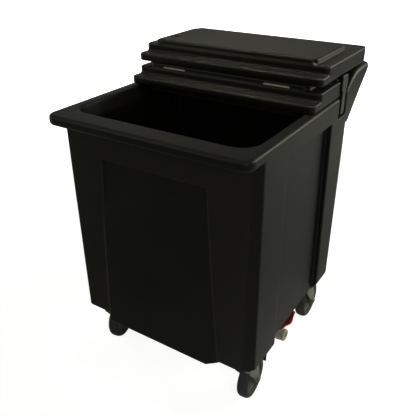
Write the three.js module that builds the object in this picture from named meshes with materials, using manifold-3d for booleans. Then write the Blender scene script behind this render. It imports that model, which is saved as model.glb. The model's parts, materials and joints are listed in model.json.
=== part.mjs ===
// Insulated ice bin on four swivel casters: a double-wall moulded tub with a push handle, a fixed rear lid,
// a front lid that slides back over it, two pull-strap latches, a drain shelf and a drain valve.
// Millimetres, +Z up, +Y towards the handle. The origin is on the floor, under the middle of the whole bin.
import * as THREE from 'three';
import { mergeVertices } from 'three/addons/utils/BufferGeometryUtils.js';
import Module from 'manifold-3d';

const wasm = await Module();
wasm.setup();

// Driving dimensions of the bin
const rimWidth = 585; // across the rim
const tubDepth = 600; // rim front to rear wall
const handleReach = 145; // rear wall to the back of the handle
const rimHeight = 790; // rim top above the floor
const underClearance = 164; // tub underside above the floor
const gap = 0.3; // clearance between pieces that touch
const overrun = 5; // how far a cutting shape runs past what it cuts
const overallDepth = tubDepth + handleReach;
const side = rimWidth / 2;

// Tub: outer form
const rimOverhang = 46; // rim front to front pillars
const rimBand = 28;
const rimCorner = 28;
const rimEdge = 8;
const rearCorner = 22;
const pillarChamfer = 25;
const baseEdge = 6;
const rearDraft = 12; // how far the rear wall leans in at its foot

// Tub: front panel, sunk at its top and proud at its foot
const panelDrop = 110; // below the rim
const panelTopInset = 133.5; // side to the panel's top corner
const panelFootInset = 99.5;
const panelTopHalf = side - panelTopInset;
const panelFootHalf = side - panelFootInset;
const panelSink = 10;
const panelProud = 22;
const panelBevel = 9;
const panelFootBevel = 25;

// Tub: side recess and rear column
const recessDepth = 16.5;
const recessDrop = 60;
const recessFront = 188;
const columnTop = 133; // rear wall to the column's front edge
const columnFootWidth = 111;
const recessRearTop = tubDepth - columnTop;
const recessRearFoot = tubDepth - columnFootWidth;
const recessRamp = 26;
const recessTopRamp = 6;
const columnChamfer = 20;

// Tub: well, skins and foam
const wellSideWall = 33.5;
const wellFrontWall = 66;
const wellRearWall = 75;
const wellCorner = 50;
const wellLip = 6;
const wellShoulder = 40; // below the rim
const wellShoulderStep = 10;
const wellTaper = 11;
const floorDepth = 40; // tub underside to the well's floor
const wellFloor = rimHeight - underClearance - floorDepth; // below the rim
const wellFloorRound = 26;
const skin = 5;
const linerSkin = 4;
const cavityTop = 12; // below the rim
const cavityCorner = 30;
const ribHeight = 20;
const ribWidth = 12;
const ribInset = 142.5; // side to the rib's end
const ribHalf = side - ribInset;
const ribPitchShare = 0.25; // of the tub's depth
const foamPortRadius = 11;
const foamPortInset = 120; // from the rear wall
const foamPortReach = 15;
const foamPlugLength = 10;

// Push handle, moulded with the rear columns
const handleTop = 55; // above the rim
const armRoot = 95; // below the rim
const armLap = 43; // how far the arm's foot reaches forward of the rear wall
const armFront = tubDepth - armLap;
const armThickness = 42;
const armEdge = 11;
const barDepth = 46;
const barHeight = 34;
const barRound = 14;
const barSetback = 4;
// Arm outline: shares of its reach from armFront to the back, and of its rise from armRoot to the top
const armOutlineShares = [
  [0.01, 0], [0.24, 0], [0.47, 0.27], [0.71, 0.55], [0.96, 0.81], [1, 0.89], [0.98, 0.97], [0.93, 1],
  [0.63, 1], [0.49, 0.985], [0.35, 0.94], [0.23, 0.865], [0.13, 0.78], [0.05, 0.7], [0, 0.62],
];

// Lids: each is a front lip, a flange above it and a raised panel on top
const lidSideGap = 5.5; // lid edge to rim edge
const lidHalf = side - lidSideGap;
const lidLip = 22.5;
const lidFlange = 21.5;
const lidPanel = 14;
const lipReach = 39; // the lip stands this far in front of the flange
const lidCorner = 14;
const lidEdge = 4;
const panelSideInset = 34;
const panelFrontInset = 3;
const panelCorner = 14;
const lidSkin = 4;
const lidPortRadius = 7;
const lidPortReach = 12;
const lidPlugLength = 8;
const rearLidReach = 263; // rear wall to the rear lid's lip
const rearLidSetback = 48; // rear wall to the rear lid's back
const earSetback = 84; // rear wall to where the rear lid narrows for the latches
const earWidth = 17;
const lidMeet = 1; // gap between the lids once both lie on the rim
const rearLidFront = tubDepth - rearLidReach;
const rearLidRear = tubDepth - rearLidSetback;
const rearLidEarEnd = tubDepth - earSetback;
const rearLidNarrow = lidHalf - earWidth;
const frontLidDepth = rearLidFront - lidMeet;
const frontPanelRearInset = 82;
const rearPanelRearInset = 24;
const locatorHeight = 12;
const locatorGap = 5;

// Glide pads between the lids, and the grooves that they run in
const padInset = 88; // lid edge to the pad
const padWidth = 75;
const padOuter = lidHalf - padInset;
const padInner = padOuter - padWidth;
const padDepth = 24;
const padStand = 2.5; // above the front lid's underside
const padSetback = 4;
const padFootDepth = 9; // the low front foot that shows below the raised panel
const padFootHeight = 5.5;
const grooveMargin = 2;

// Pull-strap latches in pockets at the rear columns
const pocketSetback = 36; // rear wall to the pocket
const pocketWidth = 52;
const pocketRear = tubDepth - pocketSetback;
const pocketFront = pocketRear - pocketWidth;
const pocketDrop = 60;
const pocketDepth = 16;
const strapThickness = 8;
const strapBar = 25;
const strapHeadFoot = 18; // above the rim
const strapHeadTop = 58;
const strapHeadWidth = 40;
const strapRound = 7;
const hookReach = 19;
const hookWidth = 24;
const hookHeight = 9;
const latchPinDrop = 46;
const latchPinRadius = 3;
const latchPinGrip = 8;
const latchBarrel = 6;
const latchPinInset = 8; // side face to pin

// Drain: fitting through the floor, elbow and ball valve
const drainInset = 112.5; // side to the drain
const drainShare = 0.47; // of the way from the front to the rear king pins
const drainX = side - drainInset;
const drainBore = 11;
const drainTube = 16;
const drainFlange = 24;
const drainFlangeThickness = 4;
const drainBoss = 24;
const drainTubeDrop = 14; // below the tub
const nutRadius = 27;
const nutHeight = 11;
const pipeRadius = 15;
const elbowRadius = 30;
const elbowSocket = 20;
const elbowSocketDepth = 12;
const valveDrop = 60; // tub underside to valve axis
const valveInset = 38; // side to the valve's middle
const valveX = side - valveInset;
const valveBodyHalf = 11;
const valveBodyRadius = 19;
const valveNutRadius = 18.5;
const valveNutLength = 11.5;
const valveNutChamfer = 2;
const valveBoss = 8;
const ballRadius = 14.5;
const ballBore = 9;
const stemRadius = 4;
const leverRise = 22; // valve axis to the lever's underside
const leverThickness = 8;
const leverLength = 86;
const leverRest = 6; // degrees that the lever stands open in the photo
const leverHub = 10;
// Half outline of the leaf-shaped lever: shares of its length along it and across it
const leverLeafShares = [
  [-0.14, 0.093], [0.02, 0.14], [0.2, 0.174], [0.36, 0.233],
  [0.5, 0.227], [0.66, 0.163], [0.86, 0.093], [1, 0.058],
];
const leverEdge = 1.6;
const strainerRadius = 22.5;
const strainerSlots = 4;
const strainerHeight = 12;
const strainerWall = 2.5;

// Drain shelf in the well
const shelfThickness = 12;
const shelfClearance = 6;
const shelfSlotShare = 0.7742; // of the pitch of its columns
const shelfSlotWidth = 9;
const shelfSlotRound = 4;
const shelfSlotColumns = 4;
const shelfSlotRows = 8;
const shelfMargin = 46;
const shelfCorner = 28;
const shelfGripRadius = 15;

// Casters
const casterInset = 53.5; // side to the king pin
const casterX = side - casterInset;
const casterFrontShift = 8; // both front casters sit this far to the right
const casterFrontY = 110;
const casterRearSetback = 75; // rear wall to the rear king pins
const casterRearY = tubDepth - casterRearSetback;
const drainY = casterFrontY + (casterRearY - casterFrontY) * drainShare;
const wheelRadius = 62.5;
const wheelWidth = 32;
const tyreThickness = 12.5;
const tyreCrown = 6;
const tyreShoulder = 2;
const tyreFlatShare = 0.333; // of the half width
const casterTrail = 32;
const plateThickness = 4;
const plateHalfX = 36;
const plateHalfY = 50;
const plateCorner = 9;
const raceRadius = 28;
const raceTopRadius = 33;
const raceHeight = 11;
const crownRadius = 30;
const crownThickness = 5;
const crownCollar = 4;
const crownRear = 24; // king pin to the crown's rear edge
const crownDrop = 15;
const legThickness = 3.5;
const legGap = 4; // between wheel and leg
const legEye = 14;
const legFoot = 11.2;
const legRound = 9.8;
const kingpinRadius = 6;
const kingpinHead = 11;
const kingpinHeadHeight = 5;
const axleRadius = 5;
const axleHead = 9;
const axleHeadHeight = 6;
const hubRadius = 15;
const hubWidth = 38;
const hubFlare = 2;
const coreInset = 1; // tyre side to the core's rim
const webThickness = 7;
const coreRim = 5;
const runClearance = 0.4;
const boltHead = 6.5;
const boltHeadHeight = 5;
const boltRadius = 4;
const boltReach = 14;
const boltInset = 10;
const casterBlock = 22; // solid block above each plate
const blockMargin = 8;

// Brake pedals on the front casters
const pedalPivotReach = 78; // wheel centre to pedal pivot
const pedalPivotAngle = THREE.MathUtils.degToRad(45);
const pedalWidth = 36;
const pedalHub = 6;
const earNear = 6; // king pin to the brake ear's near edge, at its top
const earFoot = 18;
const earDrop = 20;
const earReach = 8.4;
const earSide = 7.2;
const pedalPinRadius = 3;
const pedalLobe = 15;
const pedalLobeAngle = THREE.MathUtils.degToRad(225);
const pedalLength = 24;
const pedalAngle = THREE.MathUtils.degToRad(-45);
const pedalThickness = 5;
const pedalTip = 36;

// Facets on a corner, on a small round and on a large round
const cornerFacets = 4;
const softFacets = 2;
const edgeFacets = 2;
const slotFacets = 1;
const gripFacets = 3;
const hexSides = 6;
const nutSides = 8;
const plateRound = 20;
const ballRound = 18;
const elbowSteps = 14;
const elbowRound = 7;
const smallRound = 12;
const largeRound = 24;
const wheelRound = 28;
const weldShare = 0.001; // of the gap: points this near are one
const cornerRoomShare = 0.4975; // most of an edge that one rounded corner takes
const quarterDegrees = 90;

// Angle by which each caster stands turned, and whether it has a brake
const casters = [
  { tag: 'front_left', side: -1, y: casterFrontY, shift: casterFrontShift, toe: 13, brake: true },
  { tag: 'front_right', side: 1, y: casterFrontY, shift: casterFrontShift, toe: 4, brake: true },
  { tag: 'rear_left', side: -1, y: casterRearY, shift: 0, toe: 0, brake: false },
  { tag: 'rear_right', side: 1, y: casterRearY, shift: 0, toe: 1, brake: false },
];

const finishes = {
  shell: { color: 0x171614, roughness: 0.42, metalness: 0 },
  foam: { color: 0xd9c98c, roughness: 0.95, metalness: 0 },
  glide: { color: 0xc9c6ab, roughness: 0.5, metalness: 0 },
  strap: { color: 0x1b1b18, roughness: 0.5, metalness: 0 },
  steel: { color: 0xa9aaa2, roughness: 0.35, metalness: 0.9 },
  valve: { color: 0xb9b09a, roughness: 0.5, metalness: 0 },
  lever: { color: 0x8c0618, roughness: 0.4, metalness: 0 },
  core: { color: 0x8b8c86, roughness: 0.5, metalness: 0 },
  tyre: { color: 0x24242a, roughness: 0.75, metalness: 0 },
  pedal: { color: 0x2a2a26, roughness: 0.5, metalness: 0.2 },
  shelf: { color: 0x3b3c3a, roughness: 0.6, metalness: 0 },
};

const half = overallDepth / 2;
const underside = underClearance;
const quarter = Math.PI / 2;
const fromFront = (y) => y - half;
const belowRim = (z) => rimHeight - z;
const aboveRim = (z) => rimHeight + z;
const v2 = (x, y) => new THREE.Vector2(x, y);

// Solids

// Turns a closed geometry into a solid, whichever way its faces were wound
function solid(geometry) {
  const bare = geometry.clone();
  bare.deleteAttribute('normal');
  bare.deleteAttribute('uv');
  const merged = mergeVertices(bare, gap * weldShare);
  const points = merged.attributes.position.array;
  const faces = Array.from(merged.index.array);
  const corner = (i) => new THREE.Vector3().fromArray(points, faces[i] * 3);
  let volume = 0;
  for (let i = 0; i < faces.length; i += 3) {
    volume += corner(i).dot(corner(i + 1).cross(corner(i + 2)));
  }
  if (volume < 0) faces.reverse();
  return new wasm.Manifold(new wasm.Mesh({
    numProp: 3, vertProperties: new Float32Array(points), triVerts: new Uint32Array(faces),
  }));
}

const join = (first, ...rest) => rest.reduce((sum, next) => sum.add(next), first);
const cut = (first, ...rest) => rest.reduce((left, next) => left.subtract(next), first);

// Joins rings of points, each with as many points as the next, into a closed body
function loft(rings) {
  const count = rings[0].length;
  const positions = rings.flat().flatMap((p) => [p.x, p.y, p.z]);
  const index = [];
  for (let k = 0; k + 1 < rings.length; k += 1) {
    for (let i = 0; i < count; i += 1) {
      const a = k * count + i;
      const b = k * count + ((i + 1) % count);
      index.push(a, b, b + count, a, b + count, a + count);
    }
  }
  const last = (rings.length - 1) * count;
  for (let i = 1; i + 1 < count; i += 1) {
    index.push(0, i + 1, i, last, last + i, last + i + 1);
  }
  const geometry = new THREE.BufferGeometry();
  geometry.setAttribute('position', new THREE.Float32BufferAttribute(positions, 3));
  geometry.setIndex(index);
  return solid(geometry);
}

const ring = (outline, z) => outline.map((p) => new THREE.Vector3(p.x, p.y, z));

// Convex outline with its four corners rounded by one radius each, from the left front corner round
function rounded(x0, x1, y0, y1, radii) {
  const centres = [[x0, y0, 2], [x1, y0, 3], [x1, y1, 0], [x0, y1, 1]];
  return centres.flatMap(([x, y, turn], i) => {
    const r = radii[i];
    const cx = x + (x === x0 ? r : -r);
    const cy = y + (y === y0 ? r : -r);
    return Array.from({ length: cornerFacets + 1 }, (_, k) => {
      const angle = (turn + k / cornerFacets) * quarter;
      return v2(cx + r * Math.cos(angle), cy + r * Math.sin(angle));
    });
  });
}

// Any outline with each corner rounded by up to the radius
function softened(points, radius, facets = softFacets) {
  return points.flatMap((p, i) => {
    const before = points[(i + points.length - 1) % points.length];
    const after = points[(i + 1) % points.length];
    const nearest = Math.min(p.distanceTo(before), p.distanceTo(after));
    const room = Math.min(radius, nearest * cornerRoomShare);
    const start = p.clone().add(before.clone().sub(p).setLength(room));
    const end = p.clone().add(after.clone().sub(p).setLength(room));
    return new THREE.QuadraticBezierCurve(start, p, end).getPoints(facets);
  });
}

// Prism of an outline along Z, with optional rounded edges cut from inside the outline
function prism(outline, z0, z1, edge = 0, holes = []) {
  const shape = new THREE.Shape(outline);
  shape.holes = holes.map((hole) => new THREE.Path(hole));
  const geometry = new THREE.ExtrudeGeometry(shape, {
    depth: z1 - z0 - 2 * edge, bevelEnabled: edge > 0, bevelThickness: edge, bevelSize: edge,
    bevelOffset: -edge, bevelSegments: edgeFacets, steps: 1,
  });
  return solid(geometry.translate(0, 0, z0 + edge));
}

const box = (x0, x1, y0, y1, z0, z1) => solid(
  new THREE.BoxGeometry(x1 - x0, y1 - y0, z1 - z0).translate((x0 + x1) / 2, (y0 + y1) / 2, (z0 + z1) / 2),
);

// Turned body about Z from (radius, z) pairs that start and end on the axis or close on themselves
function turned(profile, facets = largeRound) {
  const geometry = new THREE.LatheGeometry(profile.map(([r, z]) => v2(r, z)), facets);
  return solid(geometry.rotateX(quarter));
}

const rod = (radius, z0, z1, facets = smallRound) => turned(
  [[0, z0], [radius, z0], [radius, z1], [0, z1]], facets,
);
const tube = (inner, outer, z0, z1, facets = smallRound) => turned(
  [[inner, z0], [outer, z0], [outer, z1], [inner, z1], [inner, z0]], facets,
);
const alongX = (body) => body.rotate([0, quarterDegrees, 0]);
const alongY = (body) => body.rotate([-quarterDegrees, 0, 0]);

// Prism of a (y, z) outline between two x places
function sideProfile(outline, x0, x1, edge = 0) {
  const body = prism(outline, x0, x1, edge);
  return body.rotate([quarterDegrees, 0, quarterDegrees]);
}

const mirrored = (body) => body.mirror([1, 0, 0]);
const bothSides = (body) => join(body, mirrored(body));

function toGeometry(body) {
  const mesh = body.getMesh();
  const geometry = new THREE.BufferGeometry();
  geometry.setAttribute('position', new THREE.BufferAttribute(new Float32Array(mesh.vertProperties), 3));
  geometry.setIndex(new THREE.BufferAttribute(new Uint32Array(mesh.triVerts), 1));
  geometry.computeVertexNormals();
  return geometry;
}

function piece(name, body, finish) {
  const mesh = new THREE.Mesh(toGeometry(body), new THREE.MeshStandardMaterial(finishes[finish]));
  mesh.name = name;
  return mesh;
}

// Tub

const wellFront = fromFront(wellFrontWall);
const wellRear = fromFront(tubDepth - wellRearWall);
const wellSide = side - wellSideWall;

// Outline of the well at an inward step, grown by the liner's thickness where it bounds the foam
function wellRing(step, z, grow = 0) {
  const inset = step - grow;
  const radius = wellCorner - step / 2 + grow;
  return ring(rounded(
    -wellSide + inset, wellSide - inset, wellFront + inset, wellRear - inset, [radius, radius, radius, radius],
  ), z);
}

function well(grow = 0) {
  const deep = wellShoulderStep + wellTaper;
  return loft([
    wellRing(deep + wellFloorRound, belowRim(wellFloor + grow), grow),
    wellRing(deep + wellFloorRound / 3, belowRim(wellFloor + grow - wellFloorRound / 3), grow),
    wellRing(deep, belowRim(wellFloor + grow - wellFloorRound), grow),
    wellRing(wellShoulderStep, belowRim(wellShoulder), grow),
    wellRing(0, belowRim(wellLip), grow),
    wellRing(-wellLip / 3, belowRim(wellLip / 3), grow),
    wellRing(-wellLip, belowRim(0), grow),
    wellRing(-wellLip, aboveRim(overrun), grow),
  ]);
}

// Outline of the tub under its rim, with chamfered front corners
function bodyOutline(inset, lean) {
  const x = side - inset;
  const front = fromFront(rimOverhang) + inset;
  const rear = fromFront(tubDepth) - inset - lean;
  const leg = pillarChamfer - inset * (2 - Math.SQRT2);
  const back = rounded(-x, x, front, rear, [rearCorner, rearCorner, rearCorner, rearCorner]);
  const rearHalf = back.slice(2 * (cornerFacets + 1));
  return [v2(-x, front + leg), v2(-x + leg, front), v2(x - leg, front), v2(x, front + leg), ...rearHalf];
}

// Wedge between the pillar plane and the leaning panel face: cut where sunk, added where proud
function frontPanel() {
  const plane = fromFront(rimOverhang);
  const top = belowRim(panelDrop);
  const crossShare = panelSink / (panelSink + panelProud);
  const crossing = top - (top - underside) * crossShare;
  const crossingHalf = panelTopHalf + (panelFootHalf - panelTopHalf) * crossShare;
  const quad = (widthHalf, y, z) => [-widthHalf, widthHalf].map((x) => new THREE.Vector3(x, y, z));
  const wedge = (outerHalf, innerHalf, outerZ, innerZ, depth, lap) => loft([
    [...quad(outerHalf, plane + lap, outerZ), ...quad(crossingHalf, plane + lap, crossing).reverse()],
    [...quad(outerHalf, plane, outerZ), ...quad(crossingHalf, plane, crossing).reverse()],
    [...quad(innerHalf, plane + depth, innerZ), ...quad(crossingHalf - gap, plane, crossing).reverse()],
  ]);
  return {
    sunk: wedge(panelTopHalf, panelTopHalf - panelBevel, top, top - panelBevel, panelSink, -overrun),
    proud: wedge(panelFootHalf, panelFootHalf - panelFootBevel, underside, underside, -panelProud, overrun),
  };
}

function sideRecess() {
  const face = side - recessDepth;
  const front = fromFront(recessFront);
  const foot = underside - overrun;
  const quad = (x, y0, top, rearTop, rearFoot) => [
    [y0, foot], [rearFoot, foot], [rearTop, top], [y0, top],
  ].map(([y, z]) => new THREE.Vector3(x, y, z));
  const rearTop = fromFront(recessRearTop);
  const rearFoot = fromFront(recessRearFoot);
  return loft([
    quad(side + overrun, front, belowRim(recessDrop), rearTop, rearFoot),
    quad(side, front, belowRim(recessDrop), rearTop, rearFoot),
    quad(face, front + recessRamp, belowRim(recessDrop + recessTopRamp), rearTop, rearFoot),
  ]);
}

function columnFoot() {
  const section = (y) => [
    [side - recessDepth, underside - overrun], [side + overrun, underside - overrun],
    [side + overrun, underside + columnChamfer + overrun], [side, underside + columnChamfer],
    [side - recessDepth, underside],
  ].map(([x, z]) => new THREE.Vector3(x, y, z));
  return loft([section(fromFront(recessRearFoot)), section(fromFront(tubDepth + overrun))]);
}

function handle() {
  const reach = overallDepth - armFront;
  const rise = handleTop + armRoot;
  const outline = armOutlineShares.map(([back, up]) => v2(
    fromFront(armFront + reach * back), belowRim(armRoot - rise * up),
  ));
  const arm = sideProfile(outline, side - armThickness, side, armEdge);
  const rear = fromFront(overallDepth - barSetback);
  const top = aboveRim(handleTop - barSetback);
  const radii = [barRound, barRound, barRound, barRound];
  const section = rounded(rear - barDepth, rear, top - barHeight, top, radii);
  const bar = sideProfile(section, -side + armThickness - armEdge * 2, side - armThickness + armEdge * 2);
  return join(bothSides(arm), bar);
}

const pinX = side - latchPinInset;
const pinZ = belowRim(latchPinDrop);

function latchPocket() {
  const pocket = box(
    side - pocketDepth, side + overrun, fromFront(pocketFront), fromFront(pocketRear),
    belowRim(pocketDrop), aboveRim(overrun),
  );
  const pinHole = alongY(rod(
    latchPinRadius + gap, -latchPinGrip - gap, pocketRear - pocketFront + latchPinGrip + gap,
  )).translate([pinX, fromFront(pocketFront), pinZ]);
  return join(pocket, pinHole);
}

const casterPlace = ({ side: hand, y, shift }) => [hand * casterX + shift, fromFront(y)];

// Solid block in the foam space above a caster plate, and the holes for its bolts
function casterBlocks(grow = 0) {
  return join(...casters.map((caster) => {
    const [x, y] = casterPlace(caster);
    const reachX = plateHalfX + blockMargin + grow;
    const reachY = plateHalfY + blockMargin + grow;
    return box(x - reachX, x + reachX, y - reachY, y + reachY, underside, underside + casterBlock + grow);
  }));
}

function boltPlaces() {
  return casters.flatMap((caster) => {
    const [x, y] = casterPlace(caster);
    return [-1, 1].flatMap((i) => [-1, 1].map((j) => [
      x + i * (plateHalfX - boltInset), y + j * (plateHalfY - boltInset),
    ]));
  });
}

// The foam space between the skins: shrink moves every wall inwards
function foamSpace(shrink = 0) {
  const inset = skin + shrink;
  const x = side - recessDepth - inset;
  const front = fromFront(rimOverhang + panelSink) + inset;
  const outline = (lean) => rounded(
    -x, x, front, fromFront(tubDepth) - inset - lean, [cavityCorner, cavityCorner, cavityCorner, cavityCorner],
  );
  const outer = loft([
    ring(outline(rearDraft), underside + inset),
    ring(outline(0), belowRim(cavityTop + shrink)),
  ]);
  const boss = rod(drainBoss + shrink, underside - overrun, belowRim(wellFloor - overrun), largeRound)
    .translate([drainX, fromFront(drainY), 0]);
  return cut(outer, well(linerSkin + shrink), casterBlocks(shrink), boss);
}

const foamPortY = fromFront(tubDepth - foamPortInset);

function ribs() {
  const rows = [-1, 0, 1].map((row) => {
    const y = (wellFront + wellRear) / 2 + row * ribPitchShare * tubDepth;
    return box(-ribHalf, ribHalf, y - ribWidth / 2, y + ribWidth / 2,
      belowRim(wellFloor) - linerSkin, belowRim(wellFloor - ribHeight));
  });
  return join(...rows);
}

function tub() {
  const body = loft([
    ring(bodyOutline(baseEdge, rearDraft), underside),
    ring(bodyOutline(0, rearDraft), underside + baseEdge),
    ring(bodyOutline(0, 0), belowRim(rimEdge + gap)),
  ]);
  const rimOutline = rounded(
    -side, side, fromFront(0), fromFront(tubDepth), [rimCorner, rimCorner, rearCorner, rearCorner],
  );
  const rim = prism(rimOutline, belowRim(rimBand), belowRim(0), rimEdge);
  const panel = frontPanel();
  const drain = rod(drainTube + gap, underside - overrun, belowRim(wellFloor - overrun), largeRound)
    .translate([drainX, fromFront(drainY), 0]);
  const port = rod(foamPortRadius, underside - overrun, underside + skin + overrun)
    .translate([0, foamPortY, 0]);
  const boltHoles = boltPlaces().map(([x, y]) => rod(
    boltRadius + gap, underside - overrun, underside + boltReach + gap,
  ).translate([x, y, 0]));
  const outer = cut(
    join(body, rim, panel.proud, handle()),
    panel.sunk, bothSides(sideRecess()), bothSides(columnFoot()), bothSides(latchPocket()),
  );
  return cut(join(cut(outer, well(), foamSpace()), ribs()), drain, port, ...boltHoles);
}

function foamCore() {
  const port = rod(foamPortRadius + gap, underside, underside + foamPortReach).translate([0, foamPortY, 0]);
  return cut(foamSpace(gap), port);
}

function foamPlug() {
  return rod(foamPortRadius - gap, underside + gap, underside + foamPlugLength).translate([0, foamPortY, 0]);
}

// Lids

const rearLidBase = aboveRim(gap);
const lidHeight = lidLip + lidFlange + lidPanel;
const frontLidBase = rearLidBase + lidHeight + 2 * gap;
const frontLidFront = fromFront(rearLidFront + lipReach);

// One layer of a lid with rounded edges
function layer(x, y0, y1, z0, z1, corner, edge) {
  const outline = (inset) => rounded(
    -x + inset, x - inset, y0 + inset, y1 - inset, [corner, corner, corner, corner].map((r) => r - inset),
  );
  if (edge === 0) return loft([ring(outline(0), z0), ring(outline(0), z1)]);
  return loft([
    ring(outline(edge), z0), ring(outline(edge / 3), z0 + edge / 3), ring(outline(0), z0 + edge),
    ring(outline(0), z1 - edge), ring(outline(edge / 3), z1 - edge / 3), ring(outline(edge), z1),
  ]);
}

// Lip, flange and raised panel, all moved in by inset: the outer form at 0, the foam space at the skin
function lidForm(y0, y1, base, panelRearInset, inset, floor) {
  const edge = inset === 0 ? lidEdge : 0;
  const low = inset === 0 ? base : base + floor;
  const x = lidHalf - inset;
  const lipTop = base + lidLip - inset;
  const flangeTop = base + lidLip + lidFlange - inset;
  const panelTop = base + lidHeight - inset;
  const flangeFront = y0 + lipReach;
  const sunk = inset === 0 ? lidEdge : 0;
  return join(
    layer(x, y0 + inset, y1 - inset, low, lipTop, lidCorner, edge),
    layer(x, flangeFront + inset, y1 - inset, low, flangeTop, lidCorner, edge),
    layer(
      x - panelSideInset, flangeFront + panelFrontInset + inset, y1 - panelRearInset - inset,
      low + sunk, panelTop, panelCorner, edge,
    ),
  );
}

// Skin, foam core and filler plug of one lid
function lidPieces(y0, y1, base, panelRearInset, floor) {
  const portZ = base + lidHeight / 2 - lidPanel / 2;
  const bore = (radius, from, to) => alongY(rod(radius, from, to)).translate([0, y1, portZ]);
  const form = lidForm(y0, y1, base, panelRearInset, 0, 0);
  const hollow = lidForm(y0, y1, base, panelRearInset, lidSkin, floor);
  const core = lidForm(y0, y1, base, panelRearInset, lidSkin + gap, floor + gap);
  return {
    skin: cut(form, hollow, bore(lidPortRadius, -lidPlugLength, overrun)),
    foam: cut(core, bore(lidPortRadius + gap, -lidPortReach, overrun)),
    plug: bore(lidPortRadius - gap, -lidPlugLength - gap, -gap),
  };
}

const panelFront = frontLidFront + panelFrontInset;
const padFront = frontLidFront + padSetback;
const padBodyFront = padFront + padFootDepth;
const padTop = frontLidBase + padStand;

function glidePad(grow, z0, z1, front = padBodyFront) {
  return box(padInner - grow, padOuter + grow, front - grow, padFront + padDepth + grow, z0, z1);
}

// Space round a pad's foot, from a front plane to its body
function padFootSpace(grow, front, z0, z1) {
  return box(padInner - grow, padOuter + grow, front, padBodyFront, z0, z1);
}

function rearLid() {
  const y0 = fromFront(rearLidFront);
  const y1 = fromFront(rearLidRear);
  const parts = lidPieces(y0, y1, rearLidBase, rearPanelRearInset, lidSkin);
  const locator = layer(
    wellSide - locatorGap, y0 + locatorGap, wellRear - locatorGap, belowRim(locatorHeight),
    rearLidBase + lidSkin / 2, wellCorner - locatorGap, 0,
  );
  const seat = rearLidBase + lidLip + lidFlange;
  const behindEars = (x0, x1) => bothSides(box(
    x0, x1, fromFront(rearLidEarEnd), y1 + overrun, rearLidBase - overrun, rearLidBase + lidHeight,
  ));
  const narrowWall = box(
    rearLidNarrow - lidSkin, rearLidNarrow, fromFront(rearLidEarEnd) - lidSkin, y1, rearLidBase, seat,
  );
  const earWall = box(
    rearLidNarrow - lidSkin, lidHalf, fromFront(rearLidEarEnd) - lidSkin, fromFront(rearLidEarEnd),
    rearLidBase, seat,
  );
  const footTop = seat + padFootHeight;
  const tray = bothSides(join(
    glidePad(lidSkin, seat - lidSkin, seat + lidPanel - lidEdge),
    padFootSpace(lidSkin, panelFront + lidSkin / 2, seat - lidSkin, footTop + lidSkin),
  ));
  const pocket = bothSides(join(
    glidePad(gap, seat, padTop), padFootSpace(gap, panelFront - overrun, seat, footTop + gap),
  ));
  const pad = join(glidePad(0, seat + gap, padTop), glidePad(0, seat + gap, footTop, padFront));
  const walls = bothSides(join(narrowWall, earWall));
  return {
    skin: cut(join(parts.skin, locator, tray, walls), pocket, behindEars(rearLidNarrow, side)),
    foam: cut(
      parts.foam, bothSides(glidePad(lidSkin + gap, seat - lidSkin - gap, padTop, panelFront)),
      behindEars(rearLidNarrow - lidSkin - gap, side), bothSides(box(
        rearLidNarrow - lidSkin * 2, side, fromFront(rearLidEarEnd) - lidSkin - gap, y1, rearLidBase, seat,
      )),
    ),
    plug: parts.plug,
    pads: [mirrored(pad), pad],
  };
}

function frontLid() {
  const rear = frontLidFront + frontLidDepth;
  const depth = padStand + gap;
  const parts = lidPieces(frontLidFront, rear, frontLidBase, frontPanelRearInset, lidSkin + depth);
  const groove = box(
    padInner - grooveMargin, padOuter + grooveMargin, padBodyFront - gap, rear + overrun,
    frontLidBase - overrun, frontLidBase + depth,
  );
  return { ...parts, skin: cut(parts.skin, bothSides(groove)) };
}

// Latches

function strap() {
  const centre = fromFront((pocketFront + pocketRear) / 2);
  const barHalf = strapBar / 2;
  const headHalf = strapHeadWidth / 2;
  const outline = softened([
    v2(centre - barHalf, pinZ - latchBarrel), v2(centre + barHalf, pinZ - latchBarrel),
    v2(centre + barHalf, aboveRim(strapHeadFoot)), v2(centre + headHalf, aboveRim(strapHeadFoot)),
    v2(centre + headHalf, aboveRim(strapHeadTop)), v2(centre - headHalf, aboveRim(strapHeadTop)),
    v2(centre - headHalf, aboveRim(strapHeadFoot)), v2(centre - barHalf, aboveRim(strapHeadFoot)),
  ], strapRound);
  const outer = side - gap;
  const sheet = sideProfile(outline, outer - strapThickness, outer);
  const hookBase = rearLidBase + lidLip + lidFlange + 2 * gap;
  const hook = box(
    outer - strapThickness - hookReach, outer - strapThickness / 2,
    centre - hookWidth / 2, centre + hookWidth / 2,
    hookBase, hookBase + hookHeight,
  );
  const barrel = alongY(rod(latchBarrel, -barHalf, barHalf)).translate([pinX, centre, pinZ]);
  const bore = alongY(rod(latchPinRadius + gap, -headHalf, headHalf)).translate([pinX, centre, pinZ]);
  return cut(join(sheet, hook, barrel), bore);
}

function latchPin() {
  return alongY(rod(latchPinRadius, -latchPinGrip, pocketRear - pocketFront + latchPinGrip))
    .translate([pinX, fromFront(pocketFront), pinZ]);
}

// Drain

const drainPlaceY = fromFront(drainY);
const valveZ = underside - valveDrop;
const atDrain = (body) => body.translate([drainX, drainPlaceY, 0]);
const atValve = (body) => body.translate([valveX, drainPlaceY, valveZ]);
const floorZ = belowRim(wellFloor);

function drainFitting() {
  const foot = underside - drainTubeDrop;
  return atDrain(join(
    tube(drainBore, drainTube, foot, floorZ + drainFlangeThickness, largeRound),
    tube(drainBore, drainFlange, floorZ + gap, floorZ + drainFlangeThickness, largeRound),
  ));
}

function drainNut() {
  const top = underside - gap;
  const bore = rod(drainTube + gap, top - nutHeight - overrun, top + gap, largeRound);
  return atDrain(cut(rod(nutRadius, top - nutHeight, top, nutSides), bore));
}

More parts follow.
